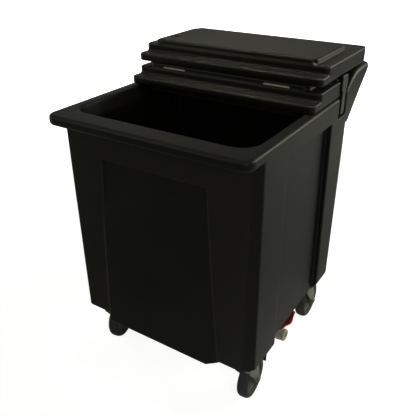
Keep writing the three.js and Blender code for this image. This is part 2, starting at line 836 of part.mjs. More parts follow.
function drainElbow() {
  const top = underside - drainTubeDrop - gap;
  const turnZ = valveZ + elbowRadius;
  const end = valveX - valveBodyHalf - valveNutLength;
  const path = new THREE.CurvePath();
  const at = (x, z) => new THREE.Vector3(x, drainPlaceY, z);
  path.add(new THREE.LineCurve3(at(drainX, top), at(drainX, turnZ)));
  const turnEnd = at(drainX + elbowRadius, valveZ);
  path.add(new THREE.QuadraticBezierCurve3(at(drainX, turnZ), at(drainX, valveZ), turnEnd));
  path.add(new THREE.LineCurve3(turnEnd, at(end, valveZ)));
  const pipe = (radius) => {
    const section = new THREE.Shape().absarc(0, 0, radius, 0, 4 * quarter);
    return solid(new THREE.ExtrudeGeometry(section, {
      steps: elbowSteps, curveSegments: elbowRound, extrudePath: path,
    }));
  };
  const socketTop = underside - nutHeight - 2 * gap;
  const socket = atDrain(tube(drainTube + gap, elbowSocket, top - gap, socketTop, largeRound));
  const shoulder = atDrain(tube(drainBore, elbowSocket, top - elbowSocketDepth / 2, top, largeRound));
  return join(cut(pipe(pipeRadius), pipe(drainBore)), socket, shoulder);
}

function valveBody() {
  const half = valveBodyHalf - gap;
  const sleeve = alongX(tube(drainBore, valveBodyRadius, -half, half, largeRound));
  const globe = solid(new THREE.SphereGeometry(ballRadius + 2 * gap + skin, ballRound, smallRound));
  const boss = rod(valveBoss, 0, leverRise - 2 * gap);
  const room = solid(new THREE.SphereGeometry(ballRadius + 2 * gap, ballRound, smallRound));
  const stemHole = rod(stemRadius + gap, 0, leverRise + overrun);
  const waterway = alongX(rod(drainBore, -valveBodyRadius - overrun, valveBodyRadius + overrun, largeRound));
  const limit = box(-valveBodyHalf + gap, valveBodyHalf - gap, -side, side, -side, side);
  return atValve(cut(join(sleeve, globe, boss).intersect(limit), room, stemHole, waterway));
}

// Union nut on one end of the valve: hand -1 is the inlet, 1 the outlet
function valveNut(hand) {
  const from = valveBodyHalf;
  const to = valveBodyHalf + valveNutLength - gap;
  const bore = hand < 0 ? pipeRadius + gap : drainBore;
  const profile = [
    [bore, from], [valveNutRadius - valveNutChamfer, from], [valveNutRadius, from + valveNutChamfer],
    [valveNutRadius, to - valveNutChamfer], [valveNutRadius - valveNutChamfer, to], [bore, to], [bore, from],
  ];
  const body = alongX(turned(profile));
  return atValve(hand < 0 ? mirrored(body) : body);
}

const atRest = (body) => body.rotate([0, 0, -leverRest]);

function valveBall() {
  const ball = solid(new THREE.SphereGeometry(ballRadius, ballRound, smallRound));
  const bore = alongY(rod(ballBore, -ballRadius - overrun, ballRadius + overrun, largeRound));
  return atValve(atRest(cut(ball, bore)));
}

function valveStem() {
  return atValve(rod(stemRadius, ballRadius + gap, leverRise + leverThickness - gap));
}

function valveLever() {
  const right = leverLeafShares.map(([along, across]) => v2(across * leverLength, along * leverLength));
  const left = right.map((p) => v2(-p.x, p.y)).reverse();
  const top = leverRise + leverThickness;
  const plate = prism([...right, ...left], leverRise, top, leverEdge);
  const hub = rod(leverHub, leverRise - gap, top);
  return atValve(atRest(cut(join(plate, hub), rod(stemRadius + gap, 0, top + overrun))));
}

// Domed strainer over the drain: a slotted cap that stands on the fitting's flange
function strainer() {
  const low = floorZ + drainFlangeThickness + gap;
  const top = low + strainerHeight;
  const outer = tube(drainBore, strainerRadius, low, low + strainerWall);
  const cap = rod(strainerRadius, top - strainerWall, top);
  const wall = tube(strainerRadius - strainerWall, strainerRadius, low, top);
  const across = strainerRadius + overrun;
  const slots = Array.from({ length: strainerSlots }, (_, i) => box(
    -across, across, -strainerWall, strainerWall, low + strainerWall, top - strainerWall,
  ).rotate([0, 0, i * 2 * quarterDegrees / strainerSlots]));
  return atDrain(cut(join(outer, cap, wall), ...slots));
}

// Perforated shelf that keeps the ice out of its melt water
function drainShelf() {
  const low = belowRim(wellFloor - ribHeight) + gap;
  const step = wellShoulderStep + wellTaper + shelfClearance;
  const x = wellSide - step;
  const y0 = wellFront + step;
  const y1 = wellRear - step;
  const pitchX = (2 * x - 2 * shelfMargin) / shelfSlotColumns;
  const pitchY = (y1 - y0 - 2 * shelfMargin) / shelfSlotRows;
  const slotX = pitchX * shelfSlotShare / 2;
  const slotY = shelfSlotWidth / 2;
  const holes = [];
  for (let i = 0; i < shelfSlotColumns; i += 1) {
    for (let j = 0; j < shelfSlotRows; j += 1) {
      const cx = -x + shelfMargin + (i + 0.5) * pitchX;
      const cy = y0 + shelfMargin + (j + 0.5) * pitchY;
      holes.push(softened([
        v2(cx - slotX, cy - slotY), v2(cx + slotX, cy - slotY),
        v2(cx + slotX, cy + slotY), v2(cx - slotX, cy + slotY),
      ], shelfSlotRound, slotFacets));
    }
  }
  for (const y of [y0 + shelfMargin / 2, y1 - shelfMargin / 2]) {
    holes.push(new THREE.Path().absarc(0, y, shelfGripRadius, 0, 4 * quarter).getPoints(gripFacets));
  }
  const outline = rounded(-x, x, y0, y1, [shelfCorner, shelfCorner, shelfCorner, shelfCorner]);
  return prism(outline, low, low + shelfThickness, 0, holes);
}

// Casters

const plateTop = underside - gap;
const raceZ = plateTop - plateThickness - raceHeight;
const crownTop = raceZ - gap;
const legInner = wheelWidth / 2 + legGap;
const legOuter = legInner + legThickness;
const crownZ = crownTop - crownCollar - crownThickness;

function casterPlate() {
  const outline = rounded(
    -plateHalfX, plateHalfX, -plateHalfY, plateHalfY, [plateCorner, plateCorner, plateCorner, plateCorner],
  );
  const race = turned([
    [0, raceZ], [raceRadius, raceZ], [raceTopRadius, plateTop - plateThickness],
    [raceTopRadius, plateTop], [0, plateTop],
  ], plateRound);
  const low = plateTop - plateThickness;
  const bolts = [-1, 1].flatMap((i) => [-1, 1].map((j) => join(
    rod(boltHead, low - boltHeadHeight, low + gap, hexSides),
    rod(boltRadius, low, underside + boltReach, nutSides),
  ).translate([i * (plateHalfX - boltInset), j * (plateHalfY - boltInset), 0])));
  const bore = rod(kingpinRadius + gap, raceZ - overrun, plateTop - gap * 2);
  return cut(join(prism(outline, low, plateTop), race, ...bolts), bore);
}

function kingpin() {
  const foot = crownZ - gap - kingpinHeadHeight;
  return join(
    rod(kingpinRadius, foot, plateTop - gap * 4),
    rod(kingpinHead, foot, foot + kingpinHeadHeight, hexSides),
  );
}

function fork(brake) {
  const axle = v2(casterTrail, wheelRadius);
  const leg = softened([
    v2(-crownRear, crownZ), v2(crownRadius, crownZ), v2(crownRadius, crownZ - crownThickness),
    v2(axle.x + legEye, axle.y + legEye / 2), v2(axle.x + legFoot, axle.y - legFoot),
    v2(axle.x - legFoot, axle.y - legFoot), v2(axle.x - legEye, axle.y + legEye / 2),
    v2(-crownRear, crownZ - crownDrop),
  ], legRound);
  const legs = sideProfile(leg, legInner, legOuter);
  const top = box(-legOuter, legOuter, -crownRear, crownRadius, crownZ - gap, crownZ + crownThickness);
  const collar = rod(crownRadius, crownZ, crownTop, plateRound);
  const parts = [bothSides(legs), top, collar];
  if (brake) parts.push(bothSides(brakeEar()));
  const axleHole = alongX(rod(axleRadius + gap, -side, side)).translate([0, axle.x, axle.y]);
  const pinHole = rod(kingpinRadius + gap, crownZ - overrun, crownTop + overrun);
  const cuts = [axleHole, pinHole];
  if (brake) cuts.push(pedalPinBody(pedalPinRadius + gap, side));
  return cut(join(...parts), ...cuts);
}

const pedalPivot = v2(
  casterTrail + pedalPivotReach * Math.cos(pedalPivotAngle),
  wheelRadius + pedalPivotReach * Math.sin(pedalPivotAngle),
);

function brakeEar() {
  const outline = softened([
    v2(earNear, crownZ + crownThickness / 2), v2(crownRadius, crownZ + crownThickness / 2),
    v2(pedalPivot.x + earReach, pedalPivot.y + pedalHub), v2(pedalPivot.x + earSide, pedalPivot.y - pedalHub),
    v2(pedalPivot.x - earSide, pedalPivot.y - earSide), v2(earFoot, crownZ - earDrop),
  ], pedalHub);
  return sideProfile(outline, legInner, legOuter);
}

function pedalPinBody(radius, halfLength) {
  return alongX(rod(radius, -halfLength, halfLength)).translate([0, pedalPivot.x, pedalPivot.y]);
}

function brakePedal() {
  const from = pedalPivot;
  const polar = (centre, reach, angle) => v2(
    centre.x + reach * Math.cos(angle), centre.y + reach * Math.sin(angle),
  );
  const knee = polar(from, pedalLength, pedalAngle);
  const tip = polar(knee, pedalTip, pedalAngle - quarter / 2);
  const bend = pedalAngle - quarter / 4;
  const edge = (hand) => [
    polar(from, hand * pedalThickness, pedalAngle + quarter),
    polar(knee, hand * pedalThickness, bend + quarter),
    polar(tip, hand * pedalThickness / 2, pedalAngle + quarter / 2),
  ];
  const arm = softened([...edge(-1), ...edge(1).reverse()], pedalThickness / 2);
  const lobeEnd = polar(from, pedalLobe, pedalLobeAngle);
  const lobe = softened([
    polar(from, pedalHub, pedalLobeAngle - quarter), polar(lobeEnd, pedalHub / 2, pedalLobeAngle - quarter),
    polar(lobeEnd, pedalHub / 2, pedalLobeAngle + quarter), polar(from, pedalHub, pedalLobeAngle + quarter),
  ], pedalHub / 3);
  const w = pedalWidth / 2;
  const hub = pedalPinBody(pedalHub, w);
  const body = join(sideProfile(arm, -w, w), sideProfile(lobe, -w, w), hub);
  return cut(body, pedalPinBody(pedalPinRadius + gap, side));
}

const brakePin = () => pedalPinBody(pedalPinRadius, legOuter + pedalPinRadius / 2);

const atAxle = (body) => body.translate([0, casterTrail, wheelRadius]);

function axle() {
  const reach = legOuter + gap;
  return atAxle(alongX(join(
    rod(axleRadius, -reach - axleHeadHeight, reach + axleHeadHeight),
    rod(axleHead, reach, reach + axleHeadHeight, hexSides),
    rod(axleHead, -reach - axleHeadHeight, -reach, hexSides),
  )));
}

function wheelCore() {
  const rimRadius = wheelRadius - tyreThickness - gap;
  const inner = rimRadius - coreRim;
  const w = wheelWidth / 2 - coreInset;
  const hub = hubWidth / 2;
  const web = webThickness / 2;
  const bore = axleRadius + runClearance;
  return atAxle(alongX(turned([
    [bore, -hub], [hubRadius, -hub], [hubRadius + hubFlare, -web], [inner, -web], [inner, -w],
    [rimRadius, -w], [rimRadius, w], [inner, w], [inner, web], [hubRadius + hubFlare, web], [hubRadius, hub],
    [bore, hub], [bore, -hub],
  ], wheelRound)));
}

function tyre() {
  const inner = wheelRadius - tyreThickness;
  const w = wheelWidth / 2;
  const shoulder = wheelRadius - tyreShoulder;
  const flat = w * tyreFlatShare;
  return atAxle(alongX(turned([
    [inner, -w + coreInset], [wheelRadius - tyreCrown, -w], [shoulder, -w + tyreCrown / 2],
    [wheelRadius, -flat], [wheelRadius, flat], [shoulder, w - tyreCrown / 2],
    [wheelRadius - tyreCrown, w], [inner, w - coreInset], [inner, -w + coreInset],
  ], wheelRound)));
}

function casterGroup(caster) {
  const [x, y] = casterPlace(caster);
  const fixed = new THREE.Group();
  fixed.position.set(x, y, 0);
  fixed.add(
    piece(`caster_plate_${caster.tag}`, casterPlate(), 'steel'),
    piece(`kingpin_${caster.tag}`, kingpin(), 'steel'),
  );
  const turning = new THREE.Group();
  turning.rotation.z = THREE.MathUtils.degToRad(caster.toe);
  turning.add(
    piece(`fork_${caster.tag}`, fork(caster.brake), 'steel'),
    piece(`axle_${caster.tag}`, axle(), 'steel'),
    piece(`wheel_core_${caster.tag}`, wheelCore(), 'core'),
    piece(`tyre_${caster.tag}`, tyre(), 'tyre'),
  );
  if (caster.brake) {
    turning.add(
      piece(`brake_pedal_${caster.tag}`, brakePedal(), 'pedal'),
      piece(`brake_pin_${caster.tag}`, brakePin(), 'steel'),
    );
  }
  fixed.add(turning);
  return fixed;
}

// The whole bin

const rear = rearLid();
const front = frontLid();
const bin = new THREE.Group();
bin.add(
  piece('tub_moulding', tub(), 'shell'),
  piece('tub_foam_core', foamCore(), 'foam'),
  piece('tub_foam_plug', foamPlug(), 'shell'),
  piece('rear_lid', rear.skin, 'shell'),
  piece('rear_lid_foam', rear.foam, 'foam'),
  piece('rear_lid_plug', rear.plug, 'shell'),
  piece('glide_pad_left', rear.pads[0], 'glide'),
  piece('glide_pad_right', rear.pads[1], 'glide'),
  piece('front_lid', front.skin, 'shell'),
  piece('front_lid_foam', front.foam, 'foam'),
  piece('front_lid_plug', front.plug, 'shell'),
  piece('latch_strap_left', mirrored(strap()), 'strap'),
  piece('latch_strap_right', strap(), 'strap'),
  piece('latch_pin_left', mirrored(latchPin()), 'steel'),
  piece('latch_pin_right', latchPin(), 'steel'),
  piece('drain_shelf', drainShelf(), 'shelf'),
  piece('drain_strainer', strainer(), 'valve'),
  piece('drain_fitting', drainFitting(), 'valve'),
  piece('drain_lock_nut', drainNut(), 'valve'),
  piece('drain_elbow', drainElbow(), 'valve'),
  piece('valve_body', valveBody(), 'valve'),
  piece('valve_inlet_nut', valveNut(-1), 'valve'),
  piece('valve_outlet_nut', valveNut(1), 'valve'),
  piece('valve_ball', valveBall(), 'valve'),
  piece('valve_stem', valveStem(), 'valve'),
  piece('valve_lever', valveLever(), 'lever'),
  ...casters.map(casterGroup),
);

export default bin;
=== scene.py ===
"""Mobile ice bin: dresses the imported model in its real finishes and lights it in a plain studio."""
import json
import logging
import math
from collections.abc import Callable, Iterable, Sequence
from dataclasses import dataclass
from enum import Enum

import bmesh
import bpy
import numpy as np
from mathutils import Euler, Matrix, Vector


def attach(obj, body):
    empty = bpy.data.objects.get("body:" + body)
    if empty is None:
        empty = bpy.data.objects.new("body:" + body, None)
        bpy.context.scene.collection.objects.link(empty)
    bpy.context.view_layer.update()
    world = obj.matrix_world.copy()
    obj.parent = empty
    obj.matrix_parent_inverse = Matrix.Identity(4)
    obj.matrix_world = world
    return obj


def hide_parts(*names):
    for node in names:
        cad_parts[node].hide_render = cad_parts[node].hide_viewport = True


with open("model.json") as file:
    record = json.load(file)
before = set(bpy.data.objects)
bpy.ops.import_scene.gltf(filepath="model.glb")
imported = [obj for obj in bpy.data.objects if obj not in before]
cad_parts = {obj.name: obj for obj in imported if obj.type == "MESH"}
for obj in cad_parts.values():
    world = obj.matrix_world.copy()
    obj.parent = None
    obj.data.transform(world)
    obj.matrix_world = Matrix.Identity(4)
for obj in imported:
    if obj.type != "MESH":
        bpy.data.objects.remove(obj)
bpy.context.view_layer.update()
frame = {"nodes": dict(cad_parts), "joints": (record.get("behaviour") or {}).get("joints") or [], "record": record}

MM = 0.001
WELD = 0.01 * MM
TINY = 1e-12

logging.basicConfig(level=logging.INFO, format="%(message)s")
LOG = logging.getLogger("ice_bin")

Triple = tuple[float, float, float]
Colour = Triple
Pair = tuple[float, float]
Profile = Sequence[Pair]


class Arithmetic(Enum):
    """Math node operations that the finishes use."""

    ADD = "ADD"
    SUBTRACT = "SUBTRACT"
    MULTIPLY = "MULTIPLY"


class Slot(Enum):
    """Material slots of the record."""

    SHELL = "moulded_shell"
    FOAM = "foam"
    GLIDE = "glide"
    STRAP = "strap"
    STEEL = "zinc_steel"
    CORE = "wheel_core"
    TYRE = "tyre"
    PEDAL = "pedal"
    VALVE = "valve_plastic"
    LEVER = "lever"
    SHELF = "shelf"


class Wire:
    """A shader socket that takes part in plain arithmetic."""

    def __init__(self, tree: bpy.types.NodeTree, socket: bpy.types.NodeSocket) -> None:
        """Keeps the tree and the socket."""
        self.tree = tree
        self.socket = socket

    def _math(self, operation: Arithmetic, first: "Wire | float", second: "Wire | float") -> "Wire":
        """Adds a Math node.

        Args:
            operation: what the node does.
            first: its first input.
            second: its second input.

        Returns:
            The node's result.
        """
        made = self.tree.nodes.new("ShaderNodeMath")
        made.operation = operation.value
        for place, value in zip(made.inputs, (first, second)):
            if isinstance(value, Wire):
                self.tree.links.new(value.socket, place)
            else:
                place.default_value = value
        return Wire(self.tree, made.outputs[0])

    def __add__(self, other: "Wire | float") -> "Wire":
        """Sum."""
        return self._math(Arithmetic.ADD, self, other)

    def __radd__(self, other: float) -> "Wire":
        """Sum, number first."""
        return self._math(Arithmetic.ADD, other, self)

    def __sub__(self, other: "Wire | float") -> "Wire":
        """Difference."""
        return self._math(Arithmetic.SUBTRACT, self, other)

    def __rsub__(self, other: float) -> "Wire":
        """Difference, number first."""
        return self._math(Arithmetic.SUBTRACT, other, self)

    def __mul__(self, other: "Wire | float") -> "Wire":
        """Product."""
        return self._math(Arithmetic.MULTIPLY, self, other)

    def __rmul__(self, other: float) -> "Wire":
        """Product, number first."""
        return self._math(Arithmetic.MULTIPLY, other, self)


@dataclass(frozen=True)
class Grain:
    """One noise: features for each metre, octaves, and the weight of the finer ones."""

    scale: float
    detail: float
    rough: float


class Bench:
    """Builds one node tree of a material or the world."""

    def __init__(self, tree: bpy.types.NodeTree) -> None:
        """Empties the tree."""
        self.tree = tree
        tree.nodes.clear()

    def node(self, kind: str, settings: dict | None = None, inputs: dict | None = None) -> bpy.types.Node:
        """Adds a node.

        Args:
            kind: node type.
            settings: properties, set first.
            inputs: values or wires by socket name or index.

        Returns:
            The new node.
        """
        made = self.tree.nodes.new(kind)
        for name, value in (settings or {}).items():
            setattr(made, name, value)
        for name, value in (inputs or {}).items():
            if isinstance(value, Wire):
                self.tree.links.new(value.socket, made.inputs[name])
            elif isinstance(value, bpy.types.NodeSocket):
                self.tree.links.new(value, made.inputs[name])
            else:
                made.inputs[name].default_value = value
        return made

    def wire(self, made: bpy.types.Node, output: str | int = 0) -> Wire:
        """Wire from a node's output."""
        return Wire(self.tree, made.outputs[output])

    def place(self) -> Wire:
        """Object coordinates in metres, which stay with the piece."""
        return self.wire(self.node("ShaderNodeTexCoord"), "Object")

    def noise(self, place: Wire, grain: Grain) -> Wire:
        """Noise value from 0 to 1.

        Args:
            place: coordinates.
            grain: how fine the noise is.

        Returns:
            The noise.
        """
        made = self.node(
            "ShaderNodeTexNoise", {"noise_dimensions": "3D"},
            {"Vector": place, "Scale": grain.scale, "Detail": grain.detail, "Roughness": grain.rough},
        )
        return self.wire(made, 0)

    def cells(self, place: Wire, scale: float) -> Wire:
        """Distance to the middle of the nearest cell, with this many cells for each metre."""
        made = self.node("ShaderNodeTexVoronoi", {"feature": "F1"}, {"Vector": place, "Scale": scale})
        return self.wire(made, "Distance")

    def stretched(self, place: Wire, scale: Triple) -> Wire:
        """Coordinates scaled along each axis."""
        made = self.node("ShaderNodeVectorMath", {"operation": "MULTIPLY"}, {0: place, 1: scale})
        return self.wire(made, 0)

    def step(self, value: Wire, span: Pair) -> Wire:
        """Smooth step of a value across a span, as 0 to 1."""
        made = self.node(
            "ShaderNodeMapRange", {"interpolation_type": "SMOOTHSTEP", "clamp": True},
            {"Value": value, "From Min": span[0], "From Max": span[1]},
        )
        return self.wire(made, 0)

    def blend(self, share: Wire, first: "Colour | Wire", second: "Colour | Wire") -> Wire:
        """Colour between two colours.

        Args:
            share: 0 for the first, 1 for the second.
            first: a colour or a wire.
            second: a colour or a wire.

        Returns:
            The mixed colour.
        """
        ends = [(*c, 1.0) if isinstance(c, tuple) else c for c in (first, second)]
        made = self.node("ShaderNodeMix", {"data_type": "RGBA"}, {0: share, 6: ends[0], 7: ends[1]})
        return self.wire(made, 2)

    def mask(self, name: str = "edge") -> Wire:
        """Mask that the mesh carries as an attribute."""
        return self.wire(self.node("ShaderNodeAttribute", {"attribute_name": name}), "Fac")

    def bump(self, height: Wire, strength: float, distance: float, under: Wire | None = None) -> Wire:
        """Bump normal.

        Args:
            height: the relief, 0 to 1.
            strength: share of the relief that shows.
            distance: depth of the relief in metres.
            under: another bump that this one lies on.

        Returns:
            The normal.
        """
        inputs = {"Height": height, "Strength": strength, "Distance": distance}
        if under is not None:
            inputs["Normal"] = under
        return self.wire(self.node("ShaderNodeBump", inputs=inputs), "Normal")

    def finish(self, inputs: dict) -> None:
        """Principled shader with these inputs, linked to the output."""
        shader = self.node("ShaderNodeBsdfPrincipled", inputs=inputs)
        self.node("ShaderNodeOutputMaterial", inputs={"Surface": shader.outputs[0]})


def new_material(name: str) -> tuple[bpy.types.Material, Bench]:
    """Empty node material and its bench."""
    material = bpy.data.materials.new(name)
    material.use_nodes = True
    return material, Bench(material.node_tree)


@dataclass(frozen=True)
class MouldedShell:
    """Rotationally moulded black polyethylene: fine orange peel, slow waves, edges lightened by wear and painted
    highlight, top faces by dust and painted light from above, and painted light on the front frame.
    """

    name: str = "shell_black"
    deep: Colour = (0.0036, 0.0034, 0.0029)
    pale: Colour = (0.0062, 0.0059, 0.0050)
    # Edge colour: partly wear, partly painted highlight along the edges.
    wear_and_highlight: Colour = (0.030, 0.029, 0.025)
    # Painted light on the front frame round the panel, which leaves the panel darker.
    painted_frame_light: Colour = (0.0125, 0.0116, 0.0096)
    # Top-face colour: partly dust, partly painted light from above.
    dust_and_top_light: Colour = (0.0125, 0.0120, 0.0106)
    cloud: Grain = Grain(7.0, 4.0, 0.55)
    cloud_span: Pair = (0.3, 0.7)
    scuff: Grain = Grain(1.0, 5.0, 0.7)
    scuff_stretch: Triple = (60.0, 60.0, 9.0)
    scuff_span: Pair = (0.60, 0.74)
    scuff_share: float = 0.12
    chatter: Grain = Grain(140.0, 3.0, 0.6)
    edge_span: Pair = (0.25, 0.9)
    edge_share: float = 0.65
    peel: Grain = Grain(900.0, 2.0, 0.5)
    peel_depth: float = 0.22 * MM
    peel_strength: float = 0.34
    wave: Grain = Grain(11.0, 1.0, 0.4)
    wave_depth: float = 1.2 * MM
    wave_strength: float = 0.5
    roughness: float = 0.40
    level: float = 0.18
    index: float = 1.5

    def make(self) -> bpy.types.Material:
        """Builds the material."""
        material, bench = new_material(self.name)
        place = bench.place()
        cloud = bench.noise(place, self.cloud)
        scratched = bench.noise(bench.stretched(place, self.scuff_stretch), self.scuff)
        scuff = bench.step(scratched, self.scuff_span)
        chatter = bench.noise(place, self.chatter)
        edge = bench.step(bench.mask() * (0.55 + chatter * 0.9), self.edge_span)
        colour = bench.blend(bench.step(cloud, self.cloud_span), self.deep, self.pale)
        # Painted light: the front frame round the panel is lightened, more towards the right.
        colour = bench.blend(bench.mask("painted_frame_light") * (0.8 + cloud * 0.4), colour, self.painted_frame_light)
        # Top faces lightened: partly dust, partly painted light from above.
        colour = bench.blend(bench.mask("upward") * (0.6 + cloud * 0.5), colour, self.dust_and_top_light)
        # Edges and scuffs lightened: partly wear, partly painted highlight.
        colour = bench.blend(edge * self.edge_share + scuff * self.scuff_share, colour, self.wear_and_highlight)
        peel = bench.noise(place, self.peel)
        normal = bench.bump(bench.noise(place, self.wave), self.wave_strength, self.wave_depth)
        normal = bench.bump(peel + scuff * 0.2, self.peel_strength, self.peel_depth, normal)
        rough = self.roughness + (cloud - 0.5) * 0.12 + scuff * 0.10 + edge * 0.05 + (peel - 0.5) * 0.06
        bench.finish({
            "Base Color": colour, "Roughness": rough, "Normal": normal,
            "Specular IOR Level": self.level, "IOR": self.index,
        })
        return material


@dataclass(frozen=True)
class MouldedPlastic:
    """Injection-moulded plastic: fine satin grain, slight mottling, paler edges that are partly wear and partly
    painted highlight.
    """

    name: str
    colour: Colour
    # Edge colour: partly wear, partly painted highlight.
    wear_and_highlight: Colour
    roughness: float
    level: float = 0.45
    dull_share: float = 0.72
    mottle: Grain = Grain(60.0, 3.0, 0.6)
    mottle_span: Pair = (0.3, 0.75)
    grime: Grain = Grain(150.0, 4.0, 0.65)
    grime_span: Pair = (0.55, 0.8)
    grain: Grain = Grain(1500.0, 2.0, 0.5)
    grain_depth: float = 0.12 * MM
    grain_strength: float = 0.3
    edge_span: Pair = (0.3, 1.0)
    edge_share: float = 0.5

    def make(self) -> bpy.types.Material:
        """Builds the material."""
        material, bench = new_material(self.name)
        place = bench.place()
        mottle = bench.noise(place, self.mottle)
        grime = bench.step(bench.noise(place, self.grime), self.grime_span)
        edge = bench.step(bench.mask(), self.edge_span)
        dull = tuple(c * self.dull_share for c in self.colour)
        colour = bench.blend(bench.step(mottle, self.mottle_span), dull, self.colour)
        # Edges lightened: partly wear, partly painted highlight.
        colour = bench.blend(edge * self.edge_share, colour, self.wear_and_highlight)
        rough = self.roughness + (mottle - 0.5) * 0.16 + grime * 0.12
        normal = bench.bump(bench.noise(place, self.grain), self.grain_strength, self.grain_depth)
        bench.finish({
            "Base Color": colour, "Roughness": rough, "Normal": normal, "Specular IOR Level": self.level,
        })
        return material


@dataclass(frozen=True)
class ZincSteel:
    """Zinc-plated pressed steel: spangle, fine drawn lines, dull spots and dirt."""

    name: str = "zinc_steel"
    bright: Colour = (0.36, 0.36, 0.33)
    dull: Colour = (0.19, 0.195, 0.18)
    dirt: Colour = (0.06, 0.052, 0.04)
    spangle_scale: float = 420.0
    lines: Grain = Grain(1.0, 3.0, 0.6)
    line_stretch: Triple = (900.0, 900.0, 120.0)
    patch: Grain = Grain(70.0, 4.0, 0.6)
    patch_span: Pair = (0.35, 0.8)
    stain: Grain = Grain(120.0, 5.0, 0.7)
    stain_span: Pair = (0.56, 0.72)
    stain_share: float = 0.55
    relief_depth: float = 0.08 * MM
    relief_strength: float = 0.25
    roughness: float = 0.34
    metal: float = 0.92

    def make(self) -> bpy.types.Material:
        """Builds the material."""
        material, bench = new_material(self.name)
        place = bench.place()
        spangle = bench.cells(place, self.spangle_scale)
        lines = bench.noise(bench.stretched(place, self.line_stretch), self.lines)
        patch = bench.noise(place, self.patch)
        dirty = bench.step(bench.noise(place, self.stain), self.stain_span)
        colour = bench.blend(bench.step(patch + spangle * 0.25, self.patch_span), self.dull, self.bright)
        colour = bench.blend(dirty * self.stain_share, colour, self.dirt)
        rough = self.roughness + (patch - 0.5) * 0.25 + dirty * 0.25
        normal = bench.bump(lines + spangle * 0.3, self.relief_strength, self.relief_depth)
        bench.finish({
            "Base Color": colour, "Roughness": rough, "Normal": normal,
            "Metallic": self.metal - dirty * 0.7,
        })
        return material


@dataclass(frozen=True)
class TyreRubber:
    """Dark grey rubber: fine grain, scuffed tread, dusty patches."""

    name: str = "tyre_rubber"
    colour: Colour = (0.017, 0.0180, 0.0225)
    dust: Colour = (0.060, 0.058, 0.052)
    patch: Grain = Grain(55.0, 5.0, 0.65)
    patch_span: Pair = (0.5, 0.78)
    patch_share: float = 0.6
    grain: Grain = Grain(1300.0, 3.0, 0.6)
    grain_depth: float = 0.2 * MM
    grain_strength: float = 0.35
    roughness: float = 0.48
    level: float = 0.5

    def make(self) -> bpy.types.Material:
        """Builds the material."""
        material, bench = new_material(self.name)
        place = bench.place()
        patch = bench.step(bench.noise(place, self.patch), self.patch_span)
        grain = bench.noise(place, self.grain)
        colour = bench.blend(patch * self.patch_share, self.colour, self.dust)
        rough = self.roughness + patch * 0.2 + (grain - 0.5) * 0.1
        normal = bench.bump(grain, self.grain_strength, self.grain_depth)
        bench.finish({
            "Base Color": colour, "Roughness": rough, "Normal": normal, "Specular IOR Level": self.level,
        })
        return material


@dataclass(frozen=True)
class RigidFoam:
    """Poured insulating foam: pale, open cells."""

    name: str = "rigid_foam"
    colour: Colour = (0.69, 0.58, 0.26)
    shade: Colour = (0.45, 0.34, 0.13)
    cell_scale: float = 650.0
    cell_depth: float = 0.4 * MM
    cell_strength: float = 0.5
    tone: Grain = Grain(40.0, 4.0, 0.6)
    tone_span: Pair = (0.3, 1.0)
    roughness: float = 0.9

    def make(self) -> bpy.types.Material:
        """Builds the material."""
        material, bench = new_material(self.name)
        place = bench.place()
        depth = bench.cells(place, self.cell_scale)
        tone = bench.noise(place, self.tone)
        # Cell pits take more of the darker colour: painted shade in the pits, on top of the random tone.
        colour = bench.blend(bench.step(tone + depth * 0.4, self.tone_span), self.shade, self.colour)
        normal = bench.bump(depth, self.cell_strength, self.cell_depth)
        bench.finish({"Base Color": colour, "Roughness": self.roughness - depth * 0.1, "Normal": normal})
        return material


class Finishes:
    """All materials of the bin, one for each slot of the record."""

    def __init__(self) -> None:
        """Builds each finish once."""
        plastic = MouldedPlastic
        self.by_slot: dict[Slot, bpy.types.Material] = {
            Slot.SHELL: MouldedShell().make(),
            Slot.FOAM: RigidFoam().make(),
            Slot.GLIDE: plastic("glide_nylon", (0.46, 0.445, 0.35), (0.58, 0.565, 0.47), 0.45).make(),
            Slot.STRAP: plastic("strap_black", (0.0075, 0.0072, 0.0062), (0.03, 0.029, 0.026), 0.38).make(),
            Slot.STEEL: ZincSteel().make(),
            Slot.CORE: plastic("core_grey", (0.095, 0.099, 0.088), (0.17, 0.175, 0.155), 0.5).make(),
            Slot.TYRE: TyreRubber().make(),
            Slot.PEDAL: plastic("pedal_black", (0.010, 0.0098, 0.009), (0.04, 0.04, 0.036), 0.42).make(),
            Slot.VALVE: plastic("valve_beige", (0.62, 0.575, 0.44), (0.70, 0.66, 0.54), 0.4).make(),
            Slot.LEVER: plastic("lever_red", (0.22, 0.003, 0.010), (0.36, 0.03, 0.04), 0.3).make(),
            Slot.SHELF: plastic("shelf_grey", (0.040, 0.042, 0.038), (0.09, 0.092, 0.086), 0.55).make(),
        }

    def dress(self, piece: bpy.types.Object, slot: Slot) -> None:
        """Puts the slot's material on every face of a piece."""
        material = self.by_slot[slot]
        if piece.material_slots:
            for place in piece.material_slots:
                place.material = material
        else:
            piece.data.materials.append(material)


def body_of_node(node: str) -> str:
    """Name of the CAD body that a node rides on."""
    for name, nodes in frame["record"]["behaviour"]["bodies"].items():
        if node in nodes:
            return name
    raise KeyError(node)


def node_mesh(*nodes: str) -> bmesh.types.BMesh:
    """Copy of the meshes of some CAD nodes, joined, in the bin's frame."""
    work = bmesh.new()
    for name in nodes:
        source = frame["nodes"][name]
        part = source.data.copy()
        part.transform(source.matrix_world)
        work.from_mesh(part)
        bpy.data.meshes.remove(part)
    bmesh.ops.remove_doubles(work, verts=work.verts, dist=WELD)
    return work


